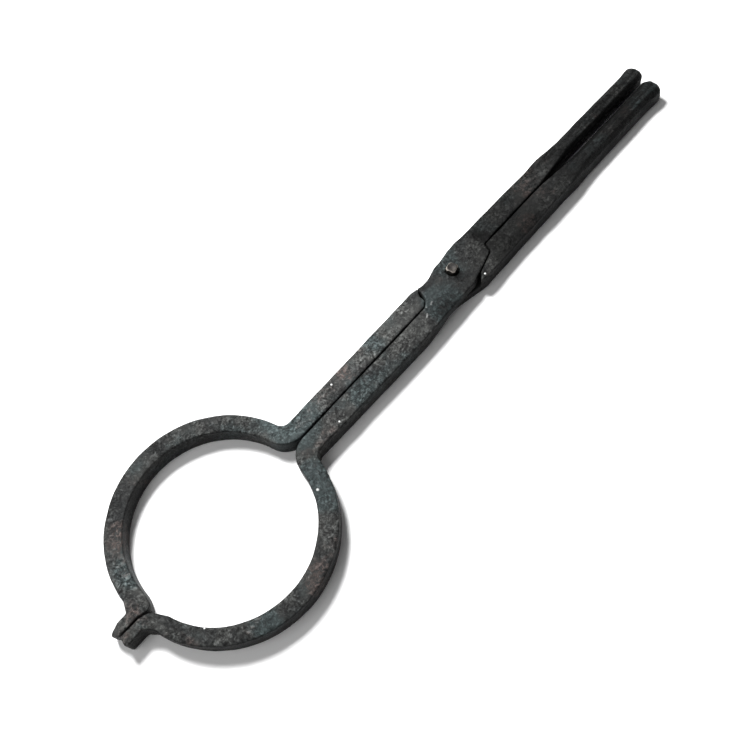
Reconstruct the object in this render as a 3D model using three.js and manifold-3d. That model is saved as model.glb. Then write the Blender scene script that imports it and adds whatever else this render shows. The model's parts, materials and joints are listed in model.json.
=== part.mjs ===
// Forged tongs with a round two-part jaw and short reins that take long handles.
//
// Units are millimetres. +X runs along the reins, +Y across the tongs, +Z up off the bench.
// The origin is where the rivet's axis meets the bench that the closed tongs lie on.
//
// Both levers are forged to one pattern, and one of them is turned over about its length. Each is
// drawn in its own flat frame: x as above, and t, the distance from the parting line towards that
// lever's own half of the jaw. A lever crosses the parting line at the rivet, so its jaw lies at
// t > 0 and its rein at t < 0.

import * as THREE from 'three';
import { mergeVertices } from 'three/addons/utils/BufferGeometryUtils.js';
import Module from 'manifold-3d';

const wasm = await Module();
wasm.setup();

// ---- driving dimensions: bar -------------------------------------------------------------------
const BAR_HEIGHT = 13.5; // thickness of the forged bar, bench to top face
const EDGE_BEVEL = 1.1; // rounding of the bar's long edges
const SEAM_GAP = 0.6; // daylight between the closed levers along the parting line
const PARTING_Y = -3.75; // the rivet was punched this far off the parting line

// ---- driving dimensions: jaw -------------------------------------------------------------------
const RING_INNER_RADIUS = 55.2; // bore of the round jaw
const RING_BAR = 11.5; // width of the bar round the jaw
const HALF_RING_SET = 2.45; // how far each half ring's centre stands on its own side
const ARM_REACH = 158.1; // rivet to the near side of the bore
const ARM_BEND_RADIUS = 16; // soft bend where the arm opens into the bore
const THROAT_RADIUS = 6; // outside corner between arm and ring
const LIP_LENGTH = 12; // straight lip past the ring
const LIP_FLARE = 2.8; // how far the ring runs out before the lip's notch
const LIP_NOTCH_RADIUS = 1.2; // sharp outside corner between ring and lip
const LIP_SLANT = 1.4; // the lip's face ends this far short of its back
const LIP_SIDESTEP = 2.55; // the lips meet this far off the parting line, towards -Y
const HEEL_SET = 3; // where the lip's face turns into the heel, from the notch
const FACET_LENGTH = 6.8; // hammered slope on the lower lever's lip, along its back
const FACET_SKEW = 4.5; // how much shorter the slope is at the lip's face
const FACET_DROP = 7.5; // how far it falls to the lip's end

// ---- driving dimensions: boss and shoulders ----------------------------------------------------
const BOSS_EDGE = 13.75; // jaw-side edge of the boss, from the parting line
const BOSS_WAIST = 11.75; // rein-side edge of the boss beside the jaw shoulder
const BOSS_END = 48; // where the arm starts to narrow towards the ring
const SHOULDER_REACH = 28.4; // rivet axis to the crotch of the reins
const SHOULDER_DROP = 6.5; // where the slanting shoulder turns into the crotch
const SHOULDER_HOOK = 2.4; // length of that turn
const JAW_SHOULDER_REACH = 27.6; // rivet axis to the jaw shoulder
const JAW_SHOULDER_LEAN = 3.2; // slope of the jaw shoulder across the bar
const JAW_SHOULDER_DROP = 2.75; // where the jaw shoulder turns into the seam
const JAW_SHOULDER_HOOK = 4.6; // length of that turn
const LAP_GAP = 0.3; // clearance between the two halves of the lap
const SHOULDER_GAP = 0.4; // clearance at the slanting shoulder and at the open stop
const JAW_SHOULDER_GAP = 0.9; // the wider slit at the jaw shoulder
const RAMP_RUN = 22; // length of the hammered slope under the upper lever's jaw shoulder
const OPEN_ANGLE = 40; // degrees from closed to the open stop

// ---- driving dimensions: reins -----------------------------------------------------------------
const REIN_LENGTH = 210; // rivet axis to the end of the upper lever's rein
const REIN_TAPER_START = 88; // where the rein leaves the parting line
const REIN_FLAT_END = 108; // end of the flat rein, where the stub steps down
const STUB_RUNOUT = 14; // how far past the step the stub's corners reach their full width
const STUB_CHAMFER = 3.2; // corners of the eight-sided stub
const STUB_ROUND_LENGTH = 5; // length of the rounded end
const STUB_ROUND_DEPTH = 0.22; // how far the end closes in, as a part of the stub's width

// ---- driving dimensions: rivet -----------------------------------------------------------------
const RIVET_RADIUS = 4;
const RIVET_CLEARANCE = 0.3; // loose fit of the levers on the rivet
const HEAD_RADIUS = 4.5; // upset end above the upper lever
const HEAD_SQUARE = 8.1; // width across the four hammered sides of that end
const HEAD_HEIGHT = 3.2;
const TAIL_RADIUS = 6.6; // countersunk tail, flush with the underside
const TAIL_RIM = 0.5; // straight rim of the tail below its cone
const TAIL_DEPTH = 3;

// ---- the two levers ----------------------------------------------------------------------------
// Their own measures differ a little, as forgings do. side is +1 where the jaw lies towards +Y.
// boreDrift sets the bore off the ring's own centre. The heel is the bar's bend from the bore into
// the lip: the lower lever's swells across the line of the lips, the upper's is drawn back for it.
const UPPER = {
  side: -1, armWidth: 13.6, armBossWidth: 15.1, reinWidth: 15.2, reinEndWidth: 14.1,
  reinLength: REIN_LENGTH, stubInset: 1.9, stubWidth: 11.2, stubToe: 0.6,
  lipFace: LIP_SIDESTEP, lipWidth: 7.1, lipRake: -0.2,
  boreDrift: -1, heelX: 10.3, heelT: 6.8, heelRadius: 6, boreEndT: 15,
};
const LOWER = {
  side: 1, armWidth: 13.1, armBossWidth: 13.5, reinWidth: 16.2, reinEndWidth: 15.8,
  reinLength: REIN_LENGTH - 3, stubInset: 2.7, stubWidth: 12.4, stubToe: 0,
  lipFace: -LIP_SIDESTEP, lipWidth: 7, lipRake: -3.4,
  boreDrift: 0, heelX: 12.4, heelT: -5.2, heelRadius: 4, boreEndT: 5,
};

// ---- derived -----------------------------------------------------------------------------------
const RING_CENTRE = new THREE.Vector2(-(ARM_REACH + RING_INNER_RADIUS), HALF_RING_SET);
const RING_OUTER_RADIUS = RING_INNER_RADIUS + RING_BAR;
const NOTCH_X = RING_CENTRE.x - RING_OUTER_RADIUS - LIP_FLARE;
const LIP_END_X = NOTCH_X - LIP_LENGTH;
const MID_HEIGHT = BAR_HEIGHT / 2;
const SIDE = SEAM_GAP / 2; // each lever stands this far back from the parting line
const BEYOND = 400; // clear of every piece, for cutting tools

// ---- flat geometry -----------------------------------------------------------------------------
const deg = THREE.MathUtils.degToRad;
const vec = (x, t) => new THREE.Vector2(x, t);
const turnedAngle = (centre, point) => point.clone().sub(centre).angle();

// Points along an arc: a step of about three degrees, and none much under a millimetre.
function arc(centre, radius, from, to) {
  const sweep = Math.abs(to - from);
  const steps = Math.min(Math.ceil(sweep / deg(3.2)), Math.ceil(sweep * radius / 0.8));
  const curve = new THREE.EllipseCurve(centre.x, centre.y, radius, radius, from, to, to < from);
  return curve.getPoints(steps);
}

// The corner b between straight runs from a and to c, rounded to a radius.
function corner(a, b, c, radius) {
  const back = a.clone().sub(b).normalize();
  const ahead = c.clone().sub(b).normalize();
  const half = back.angleTo(ahead) / 2;
  const bisector = back.clone().add(ahead).normalize();
  const centre = b.clone().addScaledVector(bisector, radius / Math.sin(half));
  const reach = radius / Math.tan(half);
  const start = turnedAngle(centre, b.clone().addScaledVector(back, reach));
  const end = turnedAngle(centre, b.clone().addScaledVector(ahead, reach));
  const sweep = THREE.MathUtils.euclideanModulo(end - start + Math.PI, 2 * Math.PI) - Math.PI;
  return arc(centre, radius, start, start + sweep);
}

// The inner corners of a run [x, t, radius]; one without a radius stays sharp. The first and last
// corners only give the run its direction.
function run(corners) {
  return corners.slice(1, -1).flatMap(([x, t, radius], i) => {
    if (!radius) return [vec(x, t)];
    return corner(vec(...corners[i]), vec(x, t), vec(...corners[i + 2]), radius);
  });
}

// The point at height t that stands a distance from a centre, to one side of it.
function beside(centre, distance, t, direction) {
  return vec(centre.x + direction * Math.sqrt(distance ** 2 - (t - centre.y) ** 2), t);
}

// ---- a lever's outline, seen from above in its own flat frame -----------------------------------
function leverOutline(lever) {
  const face = lever.lipFace + SIDE;
  const back = lever.lipFace + lever.lipWidth;
  const faceEnd = LIP_END_X + LIP_SLANT;

  const bore = RING_CENTRE.clone().add(vec(lever.boreDrift, 0));
  const armBend = beside(bore, RING_INNER_RADIUS + ARM_BEND_RADIUS, SIDE + ARM_BEND_RADIUS, 1);
  const boreStart = turnedAngle(bore, armBend);
  const boreEnd = beside(bore, RING_INNER_RADIUS, lever.boreEndT, -1);
  const ringStart = beside(RING_CENTRE, RING_OUTER_RADIUS, Math.max(back + 5, 10), -1);
  const throat = beside(
    RING_CENTRE, RING_OUTER_RADIUS + THROAT_RADIUS, lever.armWidth + THROAT_RADIUS, 1);
  const throatAngle = turnedAngle(RING_CENTRE, throat);

  const stubInner = -lever.stubInset;
  const stubOuter = stubInner - lever.stubWidth;
  const endX = lever.reinLength;
  const toe = (endX - REIN_FLAT_END) * Math.tan(deg(lever.stubToe));

  return [
    // end and back of the lip, notch, and the outside of the half ring
    vec(faceEnd, face),
    ...run([
      [faceEnd, face],
      [LIP_END_X + lever.lipRake, back, 1.6],
      [NOTCH_X, back, LIP_NOTCH_RADIUS],
      [ringStart.x, ringStart.y],
    ]),
    ...arc(RING_CENTRE, RING_OUTER_RADIUS, turnedAngle(RING_CENTRE, ringStart), throatAngle),
    ...arc(throat, THROAT_RADIUS, throatAngle + Math.PI, 1.5 * Math.PI),
    // outer edge of the arm and boss, slanting shoulder, crotch, and the rein out and back
    ...run([
      [throat.x, lever.armWidth],
      [-BOSS_END, lever.armBossWidth, 60],
      [-9, BOSS_EDGE, 30],
      [1, BOSS_EDGE, 12],
      [SHOULDER_REACH - SHOULDER_HOOK, SHOULDER_DROP, 4],
      [SHOULDER_REACH, -SIDE],
      [REIN_TAPER_START, -SIDE, 40],
      [REIN_FLAT_END, stubInner, 40],
      [endX, stubInner + toe, 0.2 * lever.stubWidth],
      [endX, stubOuter + toe, 0.4 * lever.stubWidth],
      [REIN_FLAT_END + 4, stubOuter, 6],
      [REIN_FLAT_END - 1, -lever.reinEndWidth, 6],
      [60, -lever.reinWidth, 60],
      [9, -lever.reinWidth - 0.5, 16],
      [-15, -BOSS_WAIST, 14],
      [-JAW_SHOULDER_REACH + JAW_SHOULDER_LEAN, -BOSS_WAIST, 1.6],
      [-JAW_SHOULDER_REACH, -JAW_SHOULDER_DROP, 3],
      [-JAW_SHOULDER_REACH - JAW_SHOULDER_HOOK, SIDE],
      [armBend.x, SIDE],
    ]),
    // bend into the bore, the bore, the heel, and the face of the lip
    ...arc(armBend, ARM_BEND_RADIUS, 1.5 * Math.PI, boreStart + Math.PI),
    ...arc(bore, RING_INNER_RADIUS, boreStart, turnedAngle(bore, boreEnd)),
    ...run([
      [boreEnd.x, boreEnd.y],
      [NOTCH_X + lever.heelX, lever.heelT, lever.heelRadius],
      [NOTCH_X + HEEL_SET, face, 4],
      [faceEnd, face],
    ]),
  ];
}

// What a lever gives up to the other lever's boss, seen from above in its own flat frame. The
// outline follows the other lever's edges with a clearance, and the tip beside the slanting
// shoulder is cut back along the line where the other arm's edge stands when the tongs are open.
function lapOutline(lever, other) {
  const rivet = vec(0, -lever.side * PARTING_Y);
  const foot = vec(SHOULDER_REACH - SHOULDER_HOOK, -SHOULDER_DROP);
  const slant = foot.clone().sub(vec(1, -BOSS_EDGE)).normalize();
  foot.addScaledVector(vec(slant.y, -slant.x), SHOULDER_GAP);

  const [stopNear, stopFar] = [vec(0, -BOSS_EDGE), vec(-BOSS_END, -other.armBossWidth)]
    .map((p) => p.sub(vec(0, SHOULDER_GAP)).rotateAround(rivet, deg(OPEN_ANGLE)));
  const stop = stopFar.clone().sub(stopNear).normalize();
  const along = stopNear.clone().sub(foot).cross(stop) / slant.cross(stop);
  const tip = foot.clone().addScaledVector(slant, along);

  const right = SHOULDER_REACH + SHOULDER_GAP;
  const left = -JAW_SHOULDER_REACH - JAW_SHOULDER_GAP;
  const outside = left - BOSS_END;
  return [
    vec(left + JAW_SHOULDER_LEAN, BEYOND),
    vec(left + JAW_SHOULDER_LEAN, BOSS_WAIST),
    vec(left, JAW_SHOULDER_DROP),
    vec(left - JAW_SHOULDER_HOOK, -SIDE),
    vec(outside, -SIDE),
    vec(outside, -BEYOND),
    tip.clone().addScaledVector(stop, BOSS_END),
    tip,
    foot,
    vec(right, -SIDE),
    vec(right, BEYOND),
  ];
}

// ---- solids ------------------------------------------------------------------------------------
// A closed geometry as a manifold, joined at its shared vertices.
function solid(geometry) {
  const bare = geometry.clone();
  bare.deleteAttribute('normal');
  bare.deleteAttribute('uv');
  const merged = mergeVertices(bare, 1e-4);
  return new wasm.Manifold(new wasm.Mesh({
    numProp: 3,
    vertProperties: new Float32Array(merged.attributes.position.array),
    triVerts: new Uint32Array(merged.index.array),
  }));
}

function geometryOf(manifold) {
  const mesh = manifold.getMesh();
  const geometry = new THREE.BufferGeometry();
  geometry.setAttribute('position', new THREE.BufferAttribute(mesh.vertProperties, 3));
  geometry.setIndex(new THREE.BufferAttribute(mesh.triVerts, 1));
  geometry.computeVertexNormals();
  return geometry;
}

// A flat outline of a lever's own frame, set into the tongs' frame without doubled points.
function placed(points, lever) {
  return points
    .filter((p, i) => p.distanceTo(points[(i + 1) % points.length]) > 0.05)
    .map((p) => vec(p.x, PARTING_Y + lever.side * p.y));
}

function prism(points, bottom, top, bevel = 0) {
  const geometry = new THREE.ExtrudeGeometry(new THREE.Shape(points), {
    depth: top - bottom - 2 * bevel,
    steps: 1,
    bevelEnabled: bevel > 0,
    bevelThickness: bevel,
    bevelSize: bevel,
    bevelOffset: -bevel,
    bevelSegments: 2,
  });
  return solid(geometry.translate(0, 0, bottom + bevel));
}

// Skins a bar through eight-cornered sections {x, y: [from, to], z: [from, to], chamfer}.
function loft(sections) {
  const corners = sections.flatMap(({ x, y: [y0, y1], z: [z0, z1], chamfer: c }) => [
    [x, y0 + c, z0], [x, y1 - c, z0], [x, y1, z0 + c], [x, y1, z1 - c],
    [x, y1 - c, z1], [x, y0 + c, z1], [x, y0, z1 - c], [x, y0, z0 + c],
  ]);
  const faces = [];
  const last = (sections.length - 1) * 8;
  for (let s = 0; s < last; s += 8) {
    for (let k = 0; k < 8; k += 1) {
      const n = (k + 1) % 8;
      faces.push(s + k, s + n, s + 8 + n, s + k, s + 8 + n, s + 8 + k);
    }
  }
  for (let k = 1; k < 7; k += 1) {
    faces.push(0, k + 1, k);
    faces.push(last, last + k, last + k + 1);
  }
  const geometry = new THREE.BufferGeometry();
  geometry.setAttribute('position', new THREE.Float32BufferAttribute(corners.flat(), 3));
  geometry.setIndex(faces);
  return solid(geometry);
}

// The space a rein may fill: open round the flat rein, closing to the stub's eight sides past the
// step, and rounding off the end. Only its corners and its end cut the rein.
function reinEnvelope(lever) {
  const spare = 0.1;
  const across = (from, to) => [from, to].map((t) => PARTING_Y - lever.side * t).sort((a, b) => a - b);
  const stub = (x, closed) => {
    const drift = Math.max(0, x - REIN_FLAT_END) * Math.tan(deg(lever.stubToe));
    const inner = lever.stubInset - drift - spare + closed;
    const outer = lever.stubInset - drift + lever.stubWidth + spare - closed;
    return {
      x, y: across(inner, outer), z: [closed - spare, BAR_HEIGHT + spare - closed],
      chamfer: STUB_CHAMFER * (1 - closed / MID_HEIGHT),
    };
  };
  const open = (x) => ({ x, y: [-BEYOND, BEYOND], z: [-BEYOND, BEYOND], chamfer: 1 });
  const round = (x) => ({
    x, y: across(-0.2, lever.reinWidth + 1.5), z: [-0.5, BAR_HEIGHT + 0.5], chamfer: 0.5,
  });
  const end = lever.reinLength;
  const closed = STUB_ROUND_DEPTH * lever.stubWidth;
  const dome = [0, 0.35, 0.62, 0.84, 0.96, 1].map((part) => (
    stub(end - STUB_ROUND_LENGTH * (1 - part), closed * (1 - Math.sqrt(1 - part ** 2)))));
  return loft([
    open(-BEYOND), open(REIN_TAPER_START - 6), round(REIN_TAPER_START - 5),
    stub(REIN_FLAT_END + STUB_RUNOUT, 0), ...dome, stub(end + 5, closed),
  ]);
}

// A profile of [radius, z] turned about the rivet's axis.
function turned(profile) {
  const lathe = new THREE.LatheGeometry(profile.map(([r, z]) => vec(r, z)), 40);
  return solid(lathe.rotateX(Math.PI / 2));
}

// The rivet below its head, or the bore that takes it when it is grown by a clearance.
function shank(grown, top) {
  return turned([
    [0, -grown], [TAIL_RADIUS + grown, -grown], [TAIL_RADIUS + grown, TAIL_RIM],
    [RIVET_RADIUS + grown, TAIL_DEPTH], [RIVET_RADIUS + grown, top], [0, top],
  ]);
}

// The slope under the upper lever, where its jaw shoulder was drawn down over the anvil's edge.
function shoulderRamp() {
  const from = -JAW_SHOULDER_REACH + JAW_SHOULDER_LEAN - RAMP_RUN;
  const to = from + RAMP_RUN;
  const top = MID_HEIGHT + LAP_GAP / 2;
  const side = [vec(from, 0), vec(from, -1), vec(to + 1, -1), vec(to + 1, top), vec(to, top)];
  const geometry = new THREE.ExtrudeGeometry(new THREE.Shape(side), {
    depth: 2 * BEYOND, bevelEnabled: false,
  });
  return solid(geometry.translate(0, 0, -BEYOND).rotateX(Math.PI / 2));
}

// Everything above the plane through three points, as a block much larger than the lip.
function blockAbove(a, b, c) {
  const normal = b.clone().sub(a).cross(c.clone().sub(a)).normalize();
  if (normal.z < 0) normal.negate();
  const size = 3 * RING_BAR;
  const geometry = new THREE.BoxGeometry(size, size, size).translate(0, 0, size / 2);
  geometry.applyQuaternion(new THREE.Quaternion().setFromUnitVectors(new THREE.Vector3(0, 0, 1), normal));
  return solid(geometry.translate(a.x, a.y, a.z));
}

// The hammered slope that leaves the lower lever's lip with a point at its back.
function lipFacet(lever) {
  const point = (x, t, z) => new THREE.Vector3(x, PARTING_Y + lever.side * t, z);
  const back = lever.lipFace + lever.lipWidth;
  const slope = blockAbove(
    point(LIP_END_X + FACET_LENGTH, back, BAR_HEIGHT),
    point(LIP_END_X + FACET_LENGTH - FACET_SKEW, back - 0.7 * lever.lipWidth, BAR_HEIGHT),
    point(LIP_END_X + lever.lipRake, back, BAR_HEIGHT - FACET_DROP),
  );
  const lipOnly = [
    vec(-BEYOND, -BEYOND), vec(NOTCH_X, -BEYOND), vec(NOTCH_X, BEYOND), vec(-BEYOND, BEYOND),
  ];
  return slope.intersect(prism(lipOnly, -BEYOND, BEYOND));
}

// ---- the pieces --------------------------------------------------------------------------------
function leverBlank(lever) {
  return prism(placed(leverOutline(lever), lever), 0, BAR_HEIGHT, EDGE_BEVEL)
    .intersect(reinEnvelope(lever));
}

function upperLever() {
  const lap = prism(placed(lapOutline(UPPER, LOWER), UPPER), -BEYOND, MID_HEIGHT + LAP_GAP / 2);
  const bore = shank(RIVET_CLEARANCE, BAR_HEIGHT + 1);
  return leverBlank(UPPER).subtract(lap).subtract(shoulderRamp()).subtract(bore);
}

function lowerLever() {
  const lap = prism(placed(lapOutline(LOWER, UPPER), LOWER), MID_HEIGHT - LAP_GAP / 2, BEYOND);
  const bore = shank(RIVET_CLEARANCE, BAR_HEIGHT + 1);
  return leverBlank(LOWER).subtract(lap).subtract(lipFacet(LOWER)).subtract(bore);
}

function rivet() {
  const seat = BAR_HEIGHT + RIVET_CLEARANCE;
  const top = BAR_HEIGHT + HEAD_HEIGHT;
  const upset = turned([
    [0, seat], [RIVET_RADIUS, seat], [HEAD_RADIUS, seat + 0.6], [HEAD_RADIUS, top - 1],
    [HEAD_RADIUS - 0.9, top], [0, top],
  ]);
  const half = HEAD_SQUARE / 2;
  const r = 0.45 * half;
  const square = run([
    [-half, half], [half, half, r], [half, -half, r], [-half, -half, r], [-half, half, r], [half, half],
  ]).map((p) => p.rotateAround(vec(0, 0), deg(12)));
  const head = upset.intersect(prism(square, 0, top + 1));
  return shank(0, top - 1).add(head);
}

// ---- the tongs ---------------------------------------------------------------------------------
const blackScale = { color: 0x4b4f4e, roughness: 0.72, metalness: 0.55 };
const wornSteel = { color: 0x9a9086, roughness: 0.5, metalness: 0.8 };

function piece(name, shape, finish) {
  const mesh = new THREE.Mesh(geometryOf(shape), new THREE.MeshStandardMaterial(finish));
  mesh.name = name;
  return mesh;
}

const tongs = new THREE.Group();
tongs.name = 'tongs';
tongs.add(
  piece('upper_lever', upperLever(), blackScale),
  piece('lower_lever', lowerLever(), blackScale),
  piece('rivet', rivet(), wornSteel),
);

export default tongs;
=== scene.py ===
"""Looks for the forged ring-jaw tongs: hammered surfaces, forge scale, the riveted boss and the studio.

Lengths are in metres in the frame's own axes: +X along the reins, +Y across the tongs, +Z up.
"""

import json
import logging
import math
from dataclasses import dataclass, field
from enum import Enum

import bpy
import numpy as np
from mathutils import Matrix, Vector

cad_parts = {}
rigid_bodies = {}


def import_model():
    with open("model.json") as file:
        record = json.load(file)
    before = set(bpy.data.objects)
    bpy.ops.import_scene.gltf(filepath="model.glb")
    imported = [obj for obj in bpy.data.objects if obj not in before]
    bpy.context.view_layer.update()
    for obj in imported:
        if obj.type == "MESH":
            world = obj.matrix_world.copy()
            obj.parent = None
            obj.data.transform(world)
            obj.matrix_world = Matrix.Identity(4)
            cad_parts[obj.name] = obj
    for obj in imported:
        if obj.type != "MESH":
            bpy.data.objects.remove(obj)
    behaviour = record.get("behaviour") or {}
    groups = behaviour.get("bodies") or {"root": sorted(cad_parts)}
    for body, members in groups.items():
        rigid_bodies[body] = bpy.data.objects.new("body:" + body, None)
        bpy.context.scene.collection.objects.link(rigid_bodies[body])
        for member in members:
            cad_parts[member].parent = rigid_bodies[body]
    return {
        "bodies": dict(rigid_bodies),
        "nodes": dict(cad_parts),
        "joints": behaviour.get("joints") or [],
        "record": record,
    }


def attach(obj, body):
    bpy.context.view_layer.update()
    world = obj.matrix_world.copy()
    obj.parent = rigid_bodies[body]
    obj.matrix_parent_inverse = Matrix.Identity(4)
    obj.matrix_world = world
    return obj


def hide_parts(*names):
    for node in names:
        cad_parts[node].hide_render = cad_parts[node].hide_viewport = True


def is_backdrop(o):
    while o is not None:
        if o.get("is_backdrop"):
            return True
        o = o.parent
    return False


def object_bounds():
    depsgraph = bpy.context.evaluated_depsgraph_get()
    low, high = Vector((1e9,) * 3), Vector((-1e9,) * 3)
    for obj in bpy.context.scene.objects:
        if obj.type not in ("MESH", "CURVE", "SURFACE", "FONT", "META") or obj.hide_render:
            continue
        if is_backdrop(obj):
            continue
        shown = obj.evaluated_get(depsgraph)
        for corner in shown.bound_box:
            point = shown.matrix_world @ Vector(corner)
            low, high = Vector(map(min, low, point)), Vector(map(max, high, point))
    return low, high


LOG = logging.getLogger("tongs")
MM = 0.001
BAR_TOP = 13.5 * MM
MID_HEIGHT = BAR_TOP / 2
LAP_BAND = 0.6 * MM
STUB_START, STUB_FULL = 96 * MM, 110 * MM
WELD_DISTANCE = 0.001 * MM
SPOT_CORE = 0.35

Triple = tuple[float, float, float]
Colour = Triple
Point = tuple[float, float]
Box = list[list[float]]


# ---- shader plumbing -----------------------------------------------------------------------------


class Bench:
    """Lays out and links the nodes of one tree."""

    def __init__(self, tree: bpy.types.NodeTree) -> None:
        """Keeps the tree.

        Args:
            tree: the node tree that the nodes are added to.
        """
        self.tree = tree

    def add(self, kind: str, **settings: object) -> bpy.types.Node:
        """Adds a node.

        Args:
            kind: the node's type without its ShaderNode prefix.
            settings: attributes to set on it.

        Returns:
            The node.
        """
        node = self.tree.nodes.new("ShaderNode" + kind)
        for name, value in settings.items():
            setattr(node, name, value)
        return node

    def feed(self, socket: bpy.types.NodeSocket, value: object) -> None:
        """Links a socket to another one, or sets its value.

        Args:
            socket: the input to fill.
            value: an output socket, a number, or a colour.
        """
        if isinstance(value, bpy.types.NodeSocket):
            self.tree.links.new(value, socket)
        elif isinstance(value, tuple) and socket.type == "RGBA":
            socket.default_value = (*value, 1.0)
        else:
            socket.default_value = value

    def maths(self, operation: str, *values: object, clamp: bool = False) -> bpy.types.NodeSocket:
        """Adds a Math node.

        Args:
            operation: its operation.
            values: its inputs, in order.
            clamp: whether the result is kept between 0 and 1.

        Returns:
            Its output.
        """
        node = self.add("Math", operation=operation, use_clamp=clamp)
        for socket, value in zip(node.inputs, values):
            self.feed(socket, value)
        return node.outputs[0]

    def band(self, value: object, low: float, high: float, out: Point = (0.0, 1.0)) -> bpy.types.NodeSocket:
        """Maps a value smoothly from one range to another.

        Args:
            value: the value to map.
            low: where the result starts to change.
            high: where it ends.
            out: the results below low and above high.

        Returns:
            The mapped value.
        """
        node = self.add("MapRange", interpolation_type="SMOOTHSTEP")
        for name, fill in (("Value", value), ("From Min", low), ("From Max", high),
                           ("To Min", out[0]), ("To Max", out[1])):
            self.feed(node.inputs[name], fill)
        return node.outputs[0]

    def blend(self, factor: object, under: object, over: object, mode: str = "MIX") -> bpy.types.NodeSocket:
        """Mixes two colours.

        Args:
            factor: how much of the second shows.
            under: the first colour.
            over: the second colour.
            mode: the blend type.

        Returns:
            The mixed colour.
        """
        node = self.add("Mix", data_type="RGBA", blend_type=mode)
        self.feed(node.inputs["Factor"], factor)
        self.feed(node.inputs[6], under)
        self.feed(node.inputs[7], over)
        return node.outputs[2]

    def noise(self, at: object, size: float, detail: float = 4.0, rough: float = 0.6,
              wander: float = 0.0) -> bpy.types.NodeSocket:
        """Adds a noise texture.

        Args:
            at: the coordinates.
            size: the rough size of its features.
            detail: its octaves.
            rough: how strong the fine octaves are.
            wander: its distortion.

        Returns:
            Its value.
        """
        node = self.add("TexNoise")
        self.feed(node.inputs["Vector"], at)
        for name, fill in (("Scale", 1.0 / size), ("Detail", detail), ("Roughness", rough),
                           ("Distortion", wander)):
            self.feed(node.inputs[name], fill)
        return node.outputs[0]

    def pits(self, at: object, size: float) -> bpy.types.NodeSocket:
        """Adds a cell texture, 0 at the middle of each cell.

        Args:
            at: the coordinates.
            size: the rough size of a cell.

        Returns:
            The distance to the nearest cell's middle.
        """
        node = self.add("TexVoronoi", feature="SMOOTH_F1")
        self.feed(node.inputs["Vector"], at)
        self.feed(node.inputs["Scale"], 1.0 / size)
        return node.outputs["Distance"]

    def shifted(self, at: object, offset: Triple, stretch: Triple = (1.0, 1.0, 1.0)) -> bpy.types.NodeSocket:
        """Moves and stretches coordinates, so that two layers differ.

        Args:
            at: the coordinates.
            offset: how far they move.
            stretch: their scale.

        Returns:
            The new coordinates.
        """
        node = self.add("Mapping")
        self.feed(node.inputs["Vector"], at)
        node.inputs["Location"].default_value = offset
        node.inputs["Scale"].default_value = stretch
        return node.outputs[0]

    def grey(self, value: object) -> bpy.types.NodeSocket:
        """Turns a value into a grey.

        Args:
            value: the value.

        Returns:
            The grey.
        """
        node = self.add("CombineColor")
        for socket in node.inputs:
            self.feed(socket, value)
        return node.outputs[0]

    def split(self, vector: object) -> bpy.types.Node:
        """Splits a vector.

        Args:
            vector: the vector.

        Returns:
            The node, with outputs X, Y and Z.
        """
        node = self.add("SeparateXYZ")
        self.feed(node.inputs[0], vector)
        return node


def new_material(name: str) -> tuple[bpy.types.Material, Bench, bpy.types.Node]:
    """Starts a material.

    Args:
        name: the material's name.

    Returns:
        The material, a bench on it and its shader.
    """
    material = bpy.data.materials.new(name)
    material.use_nodes = True
    tree = material.node_tree
    return material, Bench(tree), tree.nodes["Principled BSDF"]


def new_group(name: str, inputs: dict[str, str], outputs: dict[str, str]) -> tuple[
        bpy.types.NodeTree, Bench, bpy.types.Node, bpy.types.Node]:
    """Starts a shader node group.

    Args:
        name: the group's name.
        inputs: socket names and their types.
        outputs: socket names and their types.

    Returns:
        The group, a bench on it, its input node and its output node.
    """
    group = bpy.data.node_groups.new(name, "ShaderNodeTree")
    for label, kind in inputs.items():
        group.interface.new_socket(label, in_out="INPUT", socket_type="NodeSocket" + kind)
    for label, kind in outputs.items():
        group.interface.new_socket(label, in_out="OUTPUT", socket_type="NodeSocket" + kind)
    source = group.nodes.new("NodeGroupInput")
    sink = group.nodes.new("NodeGroupOutput")
    return group, Bench(group), source, sink


def arris_wear_group() -> bpy.types.NodeTree:
    """Builds the shared wear mask: proud arrises and ridges, broken up by noise.

    Returns:
        The group, with inputs Vector, Width and Break-up, and outputs Wear and Hollow.
    """
    group, bench, source, sink = new_group(
        "Arris wear", {"Vector": "Vector", "Width": "Float", "Break-up": "Float"},
        {"Wear": "Float", "Hollow": "Float"})
    proud = bench.add("NewGeometry").outputs["Pointiness"]
    edge = bench.maths("MULTIPLY", bench.maths("SUBTRACT", proud, 0.5), source.outputs["Width"])
    patchy = bench.noise(source.outputs["Vector"], 5 * MM, 5.0, 0.7)
    broken = bench.maths("MULTIPLY", bench.maths("SUBTRACT", patchy, 0.5), source.outputs["Break-up"])
    bench.feed(sink.inputs["Wear"], bench.band(bench.maths("ADD", edge, broken), 0.25, 1.0))
    bench.feed(sink.inputs["Hollow"], bench.band(bench.maths("MULTIPLY", edge, -1.0), 0.15, 1.2))
    return group


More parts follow.
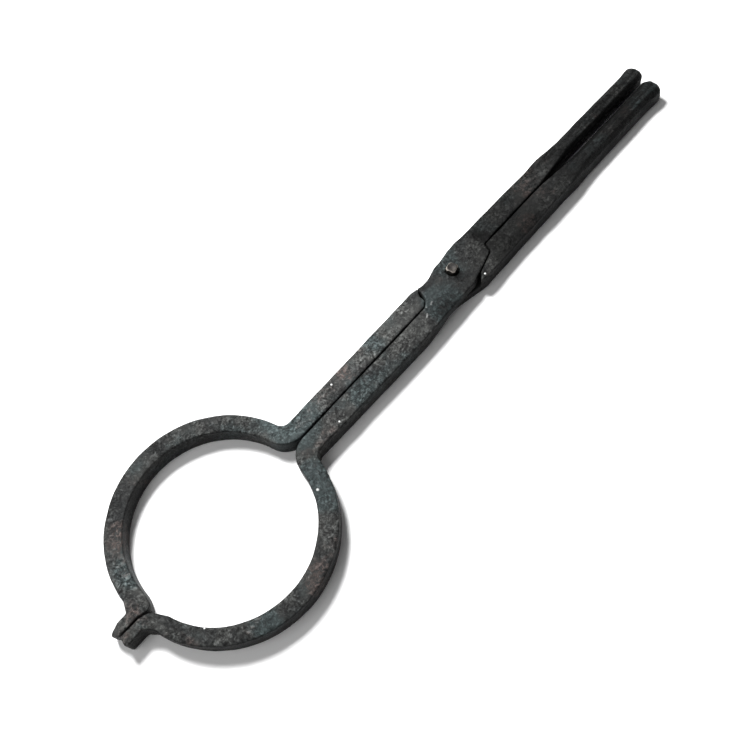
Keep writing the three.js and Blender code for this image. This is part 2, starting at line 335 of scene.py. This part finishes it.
def forge_scale_group() -> bpy.types.NodeTree:
    """Builds the shared forge scale: patches, mottling, flecks and the height of the scale.

    Returns:
        The group. Its inputs are Vector, the colours Dark, Light, Cool, Warm and Fleck, and Cooler and
        Warmer, which favour those colours. Its outputs are Color, Patch and Height.
    """
    group, bench, source, sink = new_group(
        "Forge scale",
        {"Vector": "Vector", "Dark": "Color", "Light": "Color", "Cool": "Color", "Warm": "Color",
         "Fleck": "Color", "Cooler": "Float", "Warmer": "Float"},
        {"Color": "Color", "Patch": "Float", "Height": "Float"})
    at = source.outputs["Vector"]
    patch = bench.band(bench.noise(at, 22 * MM, 6.0, 0.66, 0.5), 0.40, 0.60)
    cool = bench.noise(bench.shifted(at, (0.31, 0.07, 0.2)), 36 * MM, 4.0, 0.6)
    cool = bench.band(bench.maths("ADD", cool, source.outputs["Cooler"]), 0.48, 0.66)
    warm = bench.noise(bench.shifted(at, (-0.23, 0.41, 0.6)), 26 * MM, 5.0, 0.65)
    warm = bench.band(bench.maths("ADD", warm, source.outputs["Warmer"]), 0.55, 0.72)
    mottle = bench.noise(at, 2.7 * MM, 6.0, 0.75, 0.6)
    grain = bench.noise(bench.shifted(at, (0.5, 0.9, 0.1)), 1.3 * MM, 4.0, 0.7)
    curl = bench.noise(bench.shifted(at, (0.2, 0.1, 0.8)), 5 * MM, 3.0, 0.6, 2.2)
    spots = bench.pits(at, 2.6 * MM)

    colour = bench.blend(patch, source.outputs["Dark"], source.outputs["Light"])
    colour = bench.blend(bench.maths("MULTIPLY", cool, 0.8), colour, source.outputs["Cool"])
    colour = bench.blend(bench.maths("MULTIPLY", warm, bench.band(mottle, 0.40, 0.58)), colour,
                         source.outputs["Warm"])
    shade = bench.maths("ADD", bench.band(mottle, 0.36, 0.64, (0.32, 1.75)),
                        bench.band(grain, 0.34, 0.66, (-0.26, 0.45)))
    shade = bench.maths("MULTIPLY", shade, bench.band(curl, 0.38, 0.62, (0.62, 1.42)))
    calm = bench.band(bench.noise(bench.shifted(at, (0.12, 0.33, 0.4)), 21 * MM, 4.0, 0.6, 0.4), 0.38, 0.54)
    strong = bench.maths("MULTIPLY_ADD", calm, 0.75, 0.45)
    shade = bench.maths("MULTIPLY_ADD", bench.maths("SUBTRACT", shade, 1.0), strong, 1.0)
    colour = bench.blend(1.0, colour, bench.grey(shade), "MULTIPLY")
    fleck = bench.maths("MULTIPLY", bench.band(grain, 0.58, 0.68), bench.band(curl, 0.50, 0.62))
    colour = bench.blend(bench.maths("MULTIPLY", fleck, bench.maths("MULTIPLY_ADD", patch, 0.7, 0.25)),
                         colour, source.outputs["Fleck"])
    bench.feed(sink.inputs["Color"], colour)
    bench.feed(sink.inputs["Patch"], patch)

    flake = bench.maths("MULTIPLY", bench.band(mottle, 0.42, 0.60), 0.55)
    rough = bench.maths("MULTIPLY", grain, 0.35)
    dimple = bench.maths("MULTIPLY", bench.band(spots, 0.0, 0.32), 0.35)
    height = bench.maths("ADD", bench.maths("ADD", flake, rough), dimple)
    bench.feed(sink.inputs["Height"], bench.maths("MULTIPLY", height, bench.maths(
        "MULTIPLY_ADD", strong, 0.6, 0.4)))
    return group


# ---- finishes ------------------------------------------------------------------------------------


@dataclass(frozen=True)
class Spot:
    """A place on the top face, in millimetres, and how strongly it shows, from 0 to 1."""

    x: float
    y: float
    radius: float
    strength: float = 1.0


CHIPS = (
    Spot(10.5, -18.2, 0.9),
    Spot(-259.5, -39.0, 0.9),
    Spot(-162.8, -33.4, 1.1, 0.7),
    Spot(-108.4, 5.7, 0.8),
    Spot(-123.4, -14.5, 0.8),
    Spot(-36.6, -9.6, 0.9, 0.20),
    Spot(-35.7, -9.2, 0.9, 0.22),
    Spot(-34.9, -8.5, 0.9, 0.20),
    Spot(-28.0, -5.8, 0.8, 0.14),
    Spot(-27.1, -5.2, 0.8, 0.16),
    Spot(-26.2, -5.0, 0.8, 0.14),
    Spot(-31.4, -4.8, 0.8, 0.14),
)


def near_spots(bench: Bench, at: bpy.types.NodeSocket, spots: tuple[Spot, ...]) -> bpy.types.NodeSocket:
    """Builds a mask that has each spot's strength at the spot and is 0 away from them all.

    Args:
        bench: the material's bench.
        at: the coordinates.
        spots: the places.

    Returns:
        The mask.
    """
    mask: object = 0.0
    for spot in spots:
        gap = bench.add("VectorMath", operation="DISTANCE")
        bench.feed(gap.inputs[0], at)
        gap.inputs[1].default_value = (spot.x * MM, spot.y * MM, BAR_TOP)
        here = bench.band(gap.outputs["Value"], SPOT_CORE * spot.radius * MM, spot.radius * MM,
                          (spot.strength, 0.0))
        mask = bench.maths("MAXIMUM", mask, here)
    return mask


@dataclass(frozen=True)
class ForgedFinish:
    """Black forge scale on steel, worn along its arrises and darker towards the reins, with painted shade."""

    name: str = "Forged steel"
    dark: Colour = (0.020, 0.021, 0.021)
    light: Colour = (0.050, 0.051, 0.049)
    cool: Colour = (0.039, 0.051, 0.052)
    warm: Colour = (0.064, 0.050, 0.046)
    fleck: Colour = (0.20, 0.205, 0.20)
    arris: Colour = (0.11, 0.11, 0.105)
    chip: Colour = (0.75, 0.76, 0.75)
    # wall_shade, near_shade, far_shade and stub_shade set painted shade: darker walls, near side, far side
    # and stub facets.
    wall_shade: float = 0.50
    near_shade: float = 0.72
    far_shade: float = 0.66
    stub_shade: float = 0.45
    bump: float = 0.34 * MM
    tones: tuple[Triple, ...] = (
        (-278 * MM, -262 * MM, 1.05),
        (-48 * MM, -12 * MM, 0.55),
        (14 * MM, 34 * MM, 0.40),
        (70 * MM, 84 * MM, 1.9),
        (STUB_START, STUB_FULL, 0.40),
    )
    warm_spots: tuple[Spot, ...] = (
        Spot(82, 4, 22, 0.20), Spot(-284, -5, 18, 0.13), Spot(58, -17, 12, 0.22),
        Spot(-255, 36, 16, 0.22), Spot(-200, -66, 14, 0.22))
    cool_spots: tuple[Spot, ...] = (
        Spot(-22, -9, 18, 0.24), Spot(-142, 8, 26, 0.24), Spot(-160, -30, 22, 0.24),
        Spot(-262, 14, 16, 0.20), Spot(-235, -62, 14, 0.24))
    # Spots of painted shade: the dish on the far rein, beside the rivet and in the dark places by the boss.
    painted_shade_spots: tuple[Spot, ...] = (
        Spot(31.0, 5.6, 4.6, 0.6), Spot(32.6, 0.8, 6.2, 0.8), Spot(-0.8, -5.4, 4.6, 0.8),
        Spot(28.0, -9.0, 5.0, 0.3), Spot(-25.0, -17.0, 11.0, 0.6))
    chips: tuple[Spot, ...] = CHIPS

    def build(self, scale: bpy.types.NodeTree, wear: bpy.types.NodeTree) -> bpy.types.Material:
        """Builds the material.

        Args:
            scale: the forge scale group.
            wear: the arris wear group.

        Returns:
            The material.
        """
        material, bench, shader = new_material(self.name)
        place = bench.add("TexCoord")
        at = place.outputs["Object"]

        skin = bench.add("Group", node_tree=scale)
        bench.feed(skin.inputs["Vector"], at)
        for label in ("dark", "light", "cool", "warm", "fleck"):
            bench.feed(skin.inputs[label.title()], getattr(self, label))
        for label, spots in (("Cooler", self.cool_spots), ("Warmer", self.warm_spots)):
            bench.feed(skin.inputs[label], near_spots(bench, at, spots))
        worn = bench.add("Group", node_tree=wear)
        for label, fill in (("Vector", at), ("Width", 9.0), ("Break-up", 1.6)):
            bench.feed(worn.inputs[label], fill)

        # This factor holds painted shade as well as the scale's own changes along the tongs.
        tone_and_shade = self.tone_and_shade(bench, place, worn.outputs["Hollow"])
        colour = bench.blend(1.0, skin.outputs["Color"], bench.grey(tone_and_shade), "MULTIPLY")
        rubbed = bench.maths("MULTIPLY", worn.outputs["Wear"], bench.maths("MULTIPLY", tone_and_shade, 0.6))
        colour = bench.blend(rubbed, colour, self.arris)
        colour = bench.blend(near_spots(bench, at, self.chips), colour, self.chip)

        bench.feed(shader.inputs["Base Color"], colour)
        bench.feed(shader.inputs["Metallic"], bench.maths("MULTIPLY_ADD", rubbed, 0.6, 0.1))
        dull = bench.band(skin.outputs["Patch"], 0.0, 1.0, (0.52, 0.68))
        bench.feed(shader.inputs["Roughness"], bench.maths("SUBTRACT", dull, bench.maths(
            "MULTIPLY", rubbed, 0.14)))
        shader.inputs["Specular IOR Level"].default_value = 0.12
        relief = bench.add("Bump")
        bench.feed(relief.inputs["Height"], skin.outputs["Height"])
        relief.inputs["Distance"].default_value = self.bump
        relief.inputs["Strength"].default_value = 1.0
        bench.feed(shader.inputs["Normal"], relief.outputs[0])
        return material

    def tone_and_shade(self, bench: Bench, place: bpy.types.Node, hollow: bpy.types.NodeSocket) -> bpy.types.NodeSocket:
        """Paints shade on walls, sides, stub facets, hollows and a few spots, streaks the stubs, and changes
        the scale's darkness from part to part.

        Args:
            bench: the material's bench.
            place: its texture coordinates.
            hollow: the mask of hollows.

        Returns:
            A factor for the colour.
        """
        facing = bench.split(place.outputs["Normal"])
        along = bench.split(place.outputs["Object"])
        # Painted shade: walls facing sideways, the near side and the far side are darkened.
        tone_and_shade = bench.band(facing.outputs["Z"], 0.72, 0.94, (self.wall_shade, 1.0))
        tone_and_shade = bench.maths("MULTIPLY", tone_and_shade, bench.band(
            along.outputs["Y"], -12 * MM, 4 * MM, (self.near_shade, 1.0)))
        tone_and_shade = bench.maths("MULTIPLY", tone_and_shade, bench.band(
            along.outputs["Y"], 12 * MM, 45 * MM, (1.0, self.far_shade)))
        stub = bench.band(along.outputs["X"], STUB_START, STUB_FULL)
        # Painted shade on the stubs' sideways chamfers and walls.
        facets = bench.band(facing.outputs["Z"], 0.80, 0.95, (1.0 - self.stub_shade, 0.0))
        tone_and_shade = bench.maths("MULTIPLY", tone_and_shade, bench.maths(
            "SUBTRACT", 1.0, bench.maths("MULTIPLY", stub, facets)))
        drawn = bench.shifted(place.outputs["Object"], (0.0, 0.0, 0.0), (0.06, 1.0, 1.0))
        streaks = bench.band(bench.noise(drawn, 1.8 * MM, 3.0, 0.6), 0.38, 0.62, (-0.45, 0.75))
        tone_and_shade = bench.maths("MULTIPLY", tone_and_shade, bench.maths("MULTIPLY_ADD", stub, streaks, 1.0))
        for start, end, change in self.tones:
            tone_and_shade = bench.maths("MULTIPLY", tone_and_shade, bench.band(along.outputs["X"], start, end, (1.0, change)))
        # Painted shade in the hollows and at the spots listed above.
        painted_shade = bench.maths("MAXIMUM", bench.maths("MULTIPLY", hollow, 0.55), near_spots(
            bench, place.outputs["Object"], self.painted_shade_spots))
        return bench.maths("MULTIPLY", tone_and_shade, bench.maths("SUBTRACT", 1.0, painted_shade))


@dataclass(frozen=True)
class RivetFinish:
    """Dark hammered steel, worn bright along its edges, with dark specks and painted shade low on its sides.
    """

    name: str = "Rivet steel"
    face: Colour = (0.013, 0.012, 0.011)
    blotch: Colour = (0.036, 0.031, 0.027)
    edge: Colour = (0.55, 0.50, 0.45)
    dirt_and_shade: Colour = (0.012, 0.011, 0.010)

    def build(self, wear: bpy.types.NodeTree) -> bpy.types.Material:
        """Builds the material.

        Args:
            wear: the arris wear group.

        Returns:
            The material.
        """
        material, bench, shader = new_material(self.name)
        place = bench.add("TexCoord")
        at = place.outputs["Object"]
        facing = bench.split(place.outputs["Normal"])
        rim = bench.maths("MULTIPLY", bench.band(facing.outputs["Z"], 0.30, 0.60),
                          bench.band(facing.outputs["Z"], 0.78, 0.92, (1.0, 0.0)))
        rim = bench.maths("MULTIPLY", rim, bench.band(facing.outputs["X"], -0.3, 0.3, (1.0, 0.4)))
        worn = bench.add("Group", node_tree=wear)
        for label, fill in (("Vector", at), ("Width", 2.0), ("Break-up", 3.0)):
            bench.feed(worn.inputs[label], fill)
        rubbed = bench.maths("MULTIPLY", rim, bench.maths("MULTIPLY_ADD", worn.outputs["Wear"], 0.5, 0.6),
                             clamp=True)
        cloud = bench.noise(at, 3.5 * MM, 5.0, 0.65)
        fine = bench.noise(at, 0.8 * MM, 4.0, 0.7)
        colour = bench.blend(bench.band(cloud, 0.46, 0.62), self.face, self.blotch)
        colour = bench.blend(bench.band(fine, 0.58, 0.70, (0.0, 0.5)), colour, self.dirt_and_shade)
        colour = bench.blend(rubbed, colour, self.edge)
        # Painted shade: the head's sides darken towards the boss it stands on.
        low = bench.band(bench.split(at).outputs["Z"], 13.6 * MM, 15.0 * MM, (0.9, 0.0))
        colour = bench.blend(low, colour, self.dirt_and_shade)
        bench.feed(shader.inputs["Base Color"], colour)
        bench.feed(shader.inputs["Metallic"], bench.maths("MULTIPLY_ADD", rubbed, 0.5, 0.2))
        bench.feed(shader.inputs["Roughness"], bench.band(cloud, 0.3, 0.7, (0.62, 0.48)))
        shader.inputs["Specular IOR Level"].default_value = 0.2
        relief = bench.add("Bump")
        bench.feed(relief.inputs["Height"], bench.maths("ADD", fine, cloud))
        relief.inputs["Distance"].default_value = 0.12 * MM
        bench.feed(shader.inputs["Normal"], relief.outputs[0])
        return material


# ---- forging -------------------------------------------------------------------------------------


class MarkShape(Enum):
    """How a single blow or slip left its mark."""

    DISH = "dish"
    LIP = "lip"
    CUT = "cut"


@dataclass(frozen=True)
class Mark:
    """One mark in a top face, in millimetres. depth is positive into the steel."""

    shape: MarkShape
    at: Point
    size: Point
    depth: float
    turn: float = 0.0

    def fall(self, where: np.ndarray) -> np.ndarray:
        """Gives how far each point sinks.

        Args:
            where: x and y of the points, in millimetres.

        Returns:
            The depth at each point, in millimetres.
        """
        turn = math.radians(self.turn)
        dx, dy = where[:, 0] - self.at[0], where[:, 1] - self.at[1]
        u = (dx * math.cos(turn) + dy * math.sin(turn)) / self.size[0]
        v = (-dx * math.sin(turn) + dy * math.cos(turn)) / self.size[1]
        if self.shape is MarkShape.DISH:
            return self.depth * np.exp(-(u**2 + v**2))
        if self.shape is MarkShape.CUT:
            return self.depth * np.clip(1.3 - u**4, 0, 1) * np.exp(-(v**2))
        reach = np.hypot(u, v)
        side = np.clip(0.35 + u / np.maximum(reach, 1e-6), 0, 1)
        return self.depth * side * np.exp(-(((reach - 1) / 0.22) ** 2))


@dataclass(frozen=True)
class Nudge:
    """A soft push on the steel round a point, in millimetres: rounds a corner, closes a slit.

    It holds its full strength for run millimetres each way along the tongs.
    """

    at: Triple
    size: Triple
    push: Triple
    run: float = 0.0

    def shift(self, where: np.ndarray) -> np.ndarray:
        """Gives how far each point moves.

        Args:
            where: the points, in millimetres.

        Returns:
            The move of each point, in millimetres.
        """
        away = where - np.array(self.at)
        away[:, 0] = np.maximum(np.abs(away[:, 0]) - self.run, 0)
        away /= np.array(self.size)
        return np.exp(-(away**2).sum(axis=1))[:, None] * np.array(self.push)


@dataclass(frozen=True)
class Wave:
    """A shallow wave over the whole skin. rise is the part of its depth that stands proud."""

    kind: str
    size: float
    depth: float
    rise: float = 0.5


@dataclass
class Forging:
    """A piece with an even skin over its CAD solid, softened arrises and the marks of its making."""

    node: str
    body: str
    title: str
    slot: str
    voxel: float
    softening: int
    waves: tuple[Wave, ...]
    marks: tuple[Mark, ...] = ()
    nudges: tuple[Nudge, ...] = ()

    def build(self, frame: dict, limits: Box, finish: bpy.types.Material) -> bpy.types.Object:
        """Builds and dresses the piece.

        Args:
            limits: the tongs' own box.
            finish: the piece's material.

        Returns:
            The finished piece.
        """
        piece = fresh_copy(frame["nodes"][self.node], self.title)
        skin_over(piece, self.voxel, self.softening)
        self.hammer(piece)
        self.strike(piece, limits)
        piece.data.materials.append(finish)
        select_only(piece)
        bpy.ops.object.shade_smooth()
        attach(piece, self.body)
        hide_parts(self.node)
        return piece

    def hammer(self, piece: bpy.types.Object) -> None:
        """Waves the skin, except on the faces of the lap, which stay flat.

        Args:
            piece: the piece's object.
        """
        points, normals = skin_of(piece)
        lap = (np.abs(points[:, 2] - MID_HEIGHT) < LAP_BAND) & (np.abs(normals[:, 2]) > 0.5)
        under = normals[:, 2] < -0.5
        free = piece.vertex_groups.new(name="free")
        free.add(np.flatnonzero(~lap & ~under).tolist(), 1.0, "REPLACE")
        for number, wave in enumerate(self.waves):
            texture = bpy.data.textures.new(f"{self.title} wave {number}", wave.kind)
            texture.noise_scale = wave.size
            if wave.kind == "CLOUDS":
                texture.noise_depth = 2
            modifier = piece.modifiers.new("wave", "DISPLACE")
            modifier.texture = texture
            modifier.texture_coords = "LOCAL"
            modifier.vertex_group = "free"
            modifier.strength = -wave.depth
            modifier.mid_level = wave.rise
            apply(piece, modifier)
        piece.vertex_groups.clear()

    def strike(self, piece: bpy.types.Object, limits: Box) -> None:
        """Presses in the single marks, makes the soft pushes, and keeps the piece in the tongs' box.

        Args:
            piece: the piece's object.
            limits: the box's lowest and highest corner.
        """
        points, normals = skin_of(piece)
        lowest, highest = (np.array(corner) for corner in limits)
        up = np.clip((normals[:, 2] - 0.3) / 0.5, 0, 1) * (points[:, 2] > MID_HEIGHT + 3 * MM)
        moved = points / MM
        for nudge in self.nudges:
            moved += nudge.shift(moved)
        for mark in self.marks:
            moved[:, 2] -= up * mark.fall(moved[:, :2])
        moved = np.clip(moved * MM, lowest, highest)
        piece.data.vertices.foreach_set("co", moved.ravel())
        piece.data.update()


def skin_of(piece: bpy.types.Object) -> tuple[np.ndarray, np.ndarray]:
    """Reads a piece's points and normals.

    Args:
        piece: the object.

    Returns:
        Its points and its point normals, one row each.
    """
    count = len(piece.data.vertices)
    points, normals = np.empty(3 * count), np.empty(3 * count)
    piece.data.vertices.foreach_get("co", points)
    piece.data.vertices.foreach_get("normal", normals)
    return points.reshape(-1, 3), normals.reshape(-1, 3)


def select_only(*objects: bpy.types.Object) -> None:
    """Selects these objects and makes the first one active.

    Args:
        objects: what is selected.
    """
    bpy.ops.object.select_all(action="DESELECT")
    for item in objects:
        item.select_set(True)
    bpy.context.view_layer.objects.active = objects[0]


def apply(piece: bpy.types.Object, modifier: bpy.types.Modifier) -> None:
    """Applies one modifier.

    Args:
        piece: the object that has it.
        modifier: the modifier.
    """
    select_only(piece)
    bpy.ops.object.modifier_apply(modifier=modifier.name)


def fresh_copy(node: bpy.types.Object, title: str) -> bpy.types.Object:
    """Copies a CAD node into a piece of its own, with its shared points merged.

    Args:
        node: the CAD node.
        title: the piece's name.

    Returns:
        The copy, at the origin.
    """
    mesh = node.data.copy()
    mesh.materials.clear()
    piece = bpy.data.objects.new(title, mesh)
    bpy.context.scene.collection.objects.link(piece)
    select_only(piece)
    bpy.ops.object.mode_set(mode="EDIT")
    bpy.ops.mesh.select_all(action="SELECT")
    bpy.ops.mesh.remove_doubles(threshold=WELD_DISTANCE)
    bpy.ops.object.mode_set(mode="OBJECT")
    return piece


def skin_over(piece: bpy.types.Object, voxel: float, softening: int) -> None:
    """Gives a piece an even skin and softens its arrises.

    Args:
        piece: the object.
        voxel: the skin's grid.
        softening: rounds of smoothing.
    """
    skin = piece.modifiers.new("skin", "REMESH")
    skin.mode = "VOXEL"
    skin.voxel_size = voxel
    apply(piece, skin)
    soft = piece.modifiers.new("soft", "SMOOTH")
    soft.factor = 0.5
    soft.iterations = softening
    apply(piece, soft)


# ---- studio --------------------------------------------------------------------------------------


@dataclass(frozen=True)
class Softbox:
    """A square area light that looks at a point on the tongs."""

    name: str
    at: Triple
    width: float
    watts: float
    target: Triple = (-0.04, 0.0, 0.0)

    def build(self) -> bpy.types.Object:
        """Adds the light.

        Returns:
            The light's object.
        """
        bpy.ops.object.light_add(type="AREA", location=self.at)
        lamp = bpy.context.active_object
        lamp.name = self.name
        lamp.data.shape = "SQUARE"
        lamp.data.size = self.width
        lamp.data.energy = self.watts
        aim = Vector(self.target) - Vector(self.at)
        lamp.rotation_euler = aim.to_track_quat("-Z", "Y").to_euler()
        return lamp


@dataclass
class Studio:
    """A white floor, white surroundings, two softboxes and the camera."""

    sky: float = 0.18
    floor_colour: Colour = (0.93, 0.93, 0.93)
    floor_size: float = 8.0
    lens: float = 43.2
    sensor: float = 36.0
    camera_at: Triple = (-0.239223, -0.209502, 0.496845)
    right: Triple = (0.65653322, -0.74756342, -0.10056373)
    up: Triple = (0.70056642, 0.5549058, 0.44864935)
    lights: tuple[Softbox, ...] = field(default_factory=lambda: (
        Softbox("Key", (0.03, 0.59, 0.86), 0.3, 24.5),
        Softbox("Fill", (-0.62, 0.05, 0.62), 0.5, 1.6, target=(-0.21, 0.0, 0.0)),
    ))

    def build(self) -> None:
        """Builds the floor, the surroundings, the lights and the camera."""
        bpy.ops.object.select_all(action="DESELECT")
        bpy.ops.mesh.primitive_plane_add(size=self.floor_size, location=(0, 0, 0))
        floor = bpy.context.active_object
        floor.name = "Floor"
        paper, _, shader = new_material("White paper")
        shader.inputs["Base Color"].default_value = (*self.floor_colour, 1.0)
        shader.inputs["Roughness"].default_value = 1.0
        shader.inputs["Specular IOR Level"].default_value = 0.0
        floor.data.materials.append(paper)
        floor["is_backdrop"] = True

        world = bpy.data.worlds.new("White room")
        world.use_nodes = True
        world.node_tree.nodes["Background"].inputs["Strength"].default_value = self.sky
        world.node_tree.nodes["Background"].inputs["Color"].default_value = (1.0, 1.0, 1.0, 1.0)
        bpy.context.scene.world = world
        bpy.context.scene.view_settings.view_transform = "Standard"
        for box in self.lights:
            box.build()

        bpy.ops.object.camera_add(location=self.camera_at)
        camera = bpy.context.active_object
        camera.name = "Camera"
        camera.data.lens = self.lens
        camera.data.sensor_width = self.sensor
        camera.data.clip_start = 0.01
        right, up = Vector(self.right), Vector(self.up)
        back = right.cross(up)
        camera.matrix_world = Matrix.Translation(self.camera_at) @ Matrix(
            (right, up, back)).transposed().to_4x4()
        bpy.context.scene.camera = camera


# ---- the tongs -----------------------------------------------------------------------------------


LEVER_VOXEL, RIVET_VOXEL = 0.65 * MM, 0.3 * MM
SOFTENING = 2
LEVER_WAVES = (
    Wave("VORONOI", 15 * MM, 0.30 * MM, 0.35),
    Wave("CLOUDS", 24 * MM, 0.50 * MM),
    Wave("CLOUDS", 2.8 * MM, 0.16 * MM),
)


def lever(node: str, body: str, marks: tuple[Mark, ...], nudges: tuple[Nudge, ...]) -> Forging:
    """Sets up a lever's forging.

    Args:
        node: its CAD node.
        body: the body that it moves with.
        marks: the marks in its top face.
        nudges: the soft pushes on it.

    Returns:
        The forging.
    """
    return Forging(node, body, f"{node}_forged", "forged_steel", LEVER_VOXEL, SOFTENING, LEVER_WAVES,
                   marks, nudges)


def head_flats() -> tuple[Nudge, ...]:
    """Draws in the four sides of the rivet's head, as the blows that squared it did.

    Returns:
        One push for each side.
    """
    radius, height, push, first_turn = 4.2, 15.6, 0.8, 12
    flats = []
    for side in range(4):
        turn = math.radians(first_turn + 90 * side)
        x, y = math.cos(turn), math.sin(turn)
        flats.append(Nudge((radius * x, radius * y, height), (2.9, 2.9, 1.9), (-push * x, -push * y, 0.0)))
    return tuple(flats)


@dataclass
class RingJawTongs:
    """Both levers and the rivet that joins them."""

    upper: Forging = field(default_factory=lambda: lever("upper_lever", "upper", (
        Mark(MarkShape.LIP, (-38.5, -7.0), (3.0, 3.6), -0.7),
        Mark(MarkShape.DISH, (-37.5, -7.0), (2.6, 3.2), 0.7),
        Mark(MarkShape.DISH, (-12.5, -17.5), (1.3, 1.1), 0.8),
        Mark(MarkShape.DISH, (31.6, 1.6), (3.0, 4.2), 1.5),
        Mark(MarkShape.CUT, (28.8, 3.4), (4.4, 0.8), 0.8, 80.0),
        Mark(MarkShape.CUT, (-31.5, -7.0), (2.2, 0.6), 0.6, 60.0),
        Mark(MarkShape.CUT, (-27.4, -4.2), (1.8, 0.6), 0.6, 20.0),
    ), (
        Nudge((-24.2, 8.0, 13.0), (2.2, 1.6, 6.0), (-0.35, 0.9, 0.0)),
        Nudge((-28.0, -1.3, 13.0), (2.0, 1.6, 4.0), (-0.12, 0.1, 0.0)),
        Nudge((-31.5, -3.8, 13.0), (2.4, 1.4, 4.0), (-0.05, 0.12, 0.0)),
        Nudge((-35.0, -4.0, 13.0), (2.6, 1.2, 4.0), (0.0, 0.12, 0.0)),
        Nudge((114.0, 10.5, 8.0), (6.0, 3.0, 12.0), (0.0, -0.9, 0.0)),
        Nudge((-6.0, 9.5, 10.0), (6.0, 3.0, 7.0), (0.0, 1.0, 0.0)),
        Nudge((17.0, 11.5, 8.0), (5.0, 3.0, 12.0), (0.0, 0.6, 0.0)),
        Nudge((-274.0, -9.4, 7.0), (5.0, 2.2, 30.0), (0.0, 0.9, 0.0)),
        Nudge((153.0, 8.2, 12.3), (9.0, 2.8, 2.8), (0.0, 1.1, 1.2), 52.0),
        Nudge((158.0, 2.4, 9.0), (14.0, 3.0, 6.0), (0.0, -0.8, 0.0), 42.0),
        Nudge((205.0, 8.6, 9.0), (5.0, 3.0, 6.0), (0.0, 0.5, 0.4)),
    )))
    lower: Forging = field(default_factory=lambda: lever("lower_lever", "lower", (), (
        Nudge((-25.4, 9.2, 10.0), (3.0, 2.4, 9.0), (0.45, -1.1, 0.0)),
        Nudge((-26.9, 3.4, 13.5), (1.6, 2.4, 4.0), (-0.6, 0.1, -0.4)),
        Nudge((-28.9, -1.0, 13.0), (2.0, 1.6, 4.0), (0.15, -0.08, 0.0)),
        Nudge((-31.9, -3.0, 13.0), (2.4, 1.4, 4.0), (0.08, -0.15, 0.0)),
        Nudge((-35.0, -3.4, 13.0), (2.6, 1.2, 4.0), (0.0, -0.13, 0.0)),
        Nudge((44.0, -19.3, 13.2), (8.0, 3.2, 4.0), (0.0, 0.0, -1.5), 18.0),
        Nudge((-268.0, -9.0, 1.0), (5.0, 6.0, 7.0), (-2.4, 0.6, 0.0)),
        Nudge((156.0, -3.4, 9.0), (14.0, 3.0, 6.0), (0.0, 1.3, 0.5), 42.0),
        Nudge((157.0, -18.0, 4.0), (12.0, 4.0, 5.0), (0.0, -1.4, -0.9), 44.0),
        Nudge((202.0, -17.5, 7.0), (9.0, 4.0, 9.0), (0.0, -1.6, 0.0)),
    )))
    rivet: Forging = field(default_factory=lambda: Forging(
        "rivet", "lower", "rivet_hammered", "rivet_steel", RIVET_VOXEL, SOFTENING,
        (Wave("VORONOI", 4.5 * MM, 0.35 * MM, 0.3),),
        (Mark(MarkShape.DISH, (-0.2, 0.2), (2.3, 2.3), 0.4),), head_flats()))

    def build(self, frame: dict, limits: Box) -> None:
        """Builds the finishes and the pieces, and reports each one.

        Args:
            limits: the tongs' own box.
        """
        wear = arris_wear_group()
        forged = ForgedFinish().build(forge_scale_group(), wear)
        worn = RivetFinish().build(wear)
        for part, finish in ((self.upper, forged), (self.lower, forged), (self.rivet, worn)):
            piece = part.build(frame, limits, finish)
            LOG.info("%s: %d faces", piece.name, len(piece.data.polygons))


def plain(corners: tuple) -> Box:
    """Turns a pair of corners into plain lists.

    Args:
        corners: the lowest and highest corner.

    Returns:
        The same numbers as lists.
    """
    return [[float(value) for value in corner] for corner in corners]


def main() -> None:
    """Builds the studio and the tongs on the frame."""
    logging.basicConfig(level=logging.INFO, format="%(name)s %(message)s")
    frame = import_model()
    cad_box = plain(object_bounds())
    RingJawTongs().build(frame, cad_box)
    Studio().build()


if __name__ == "__main__":
    main()
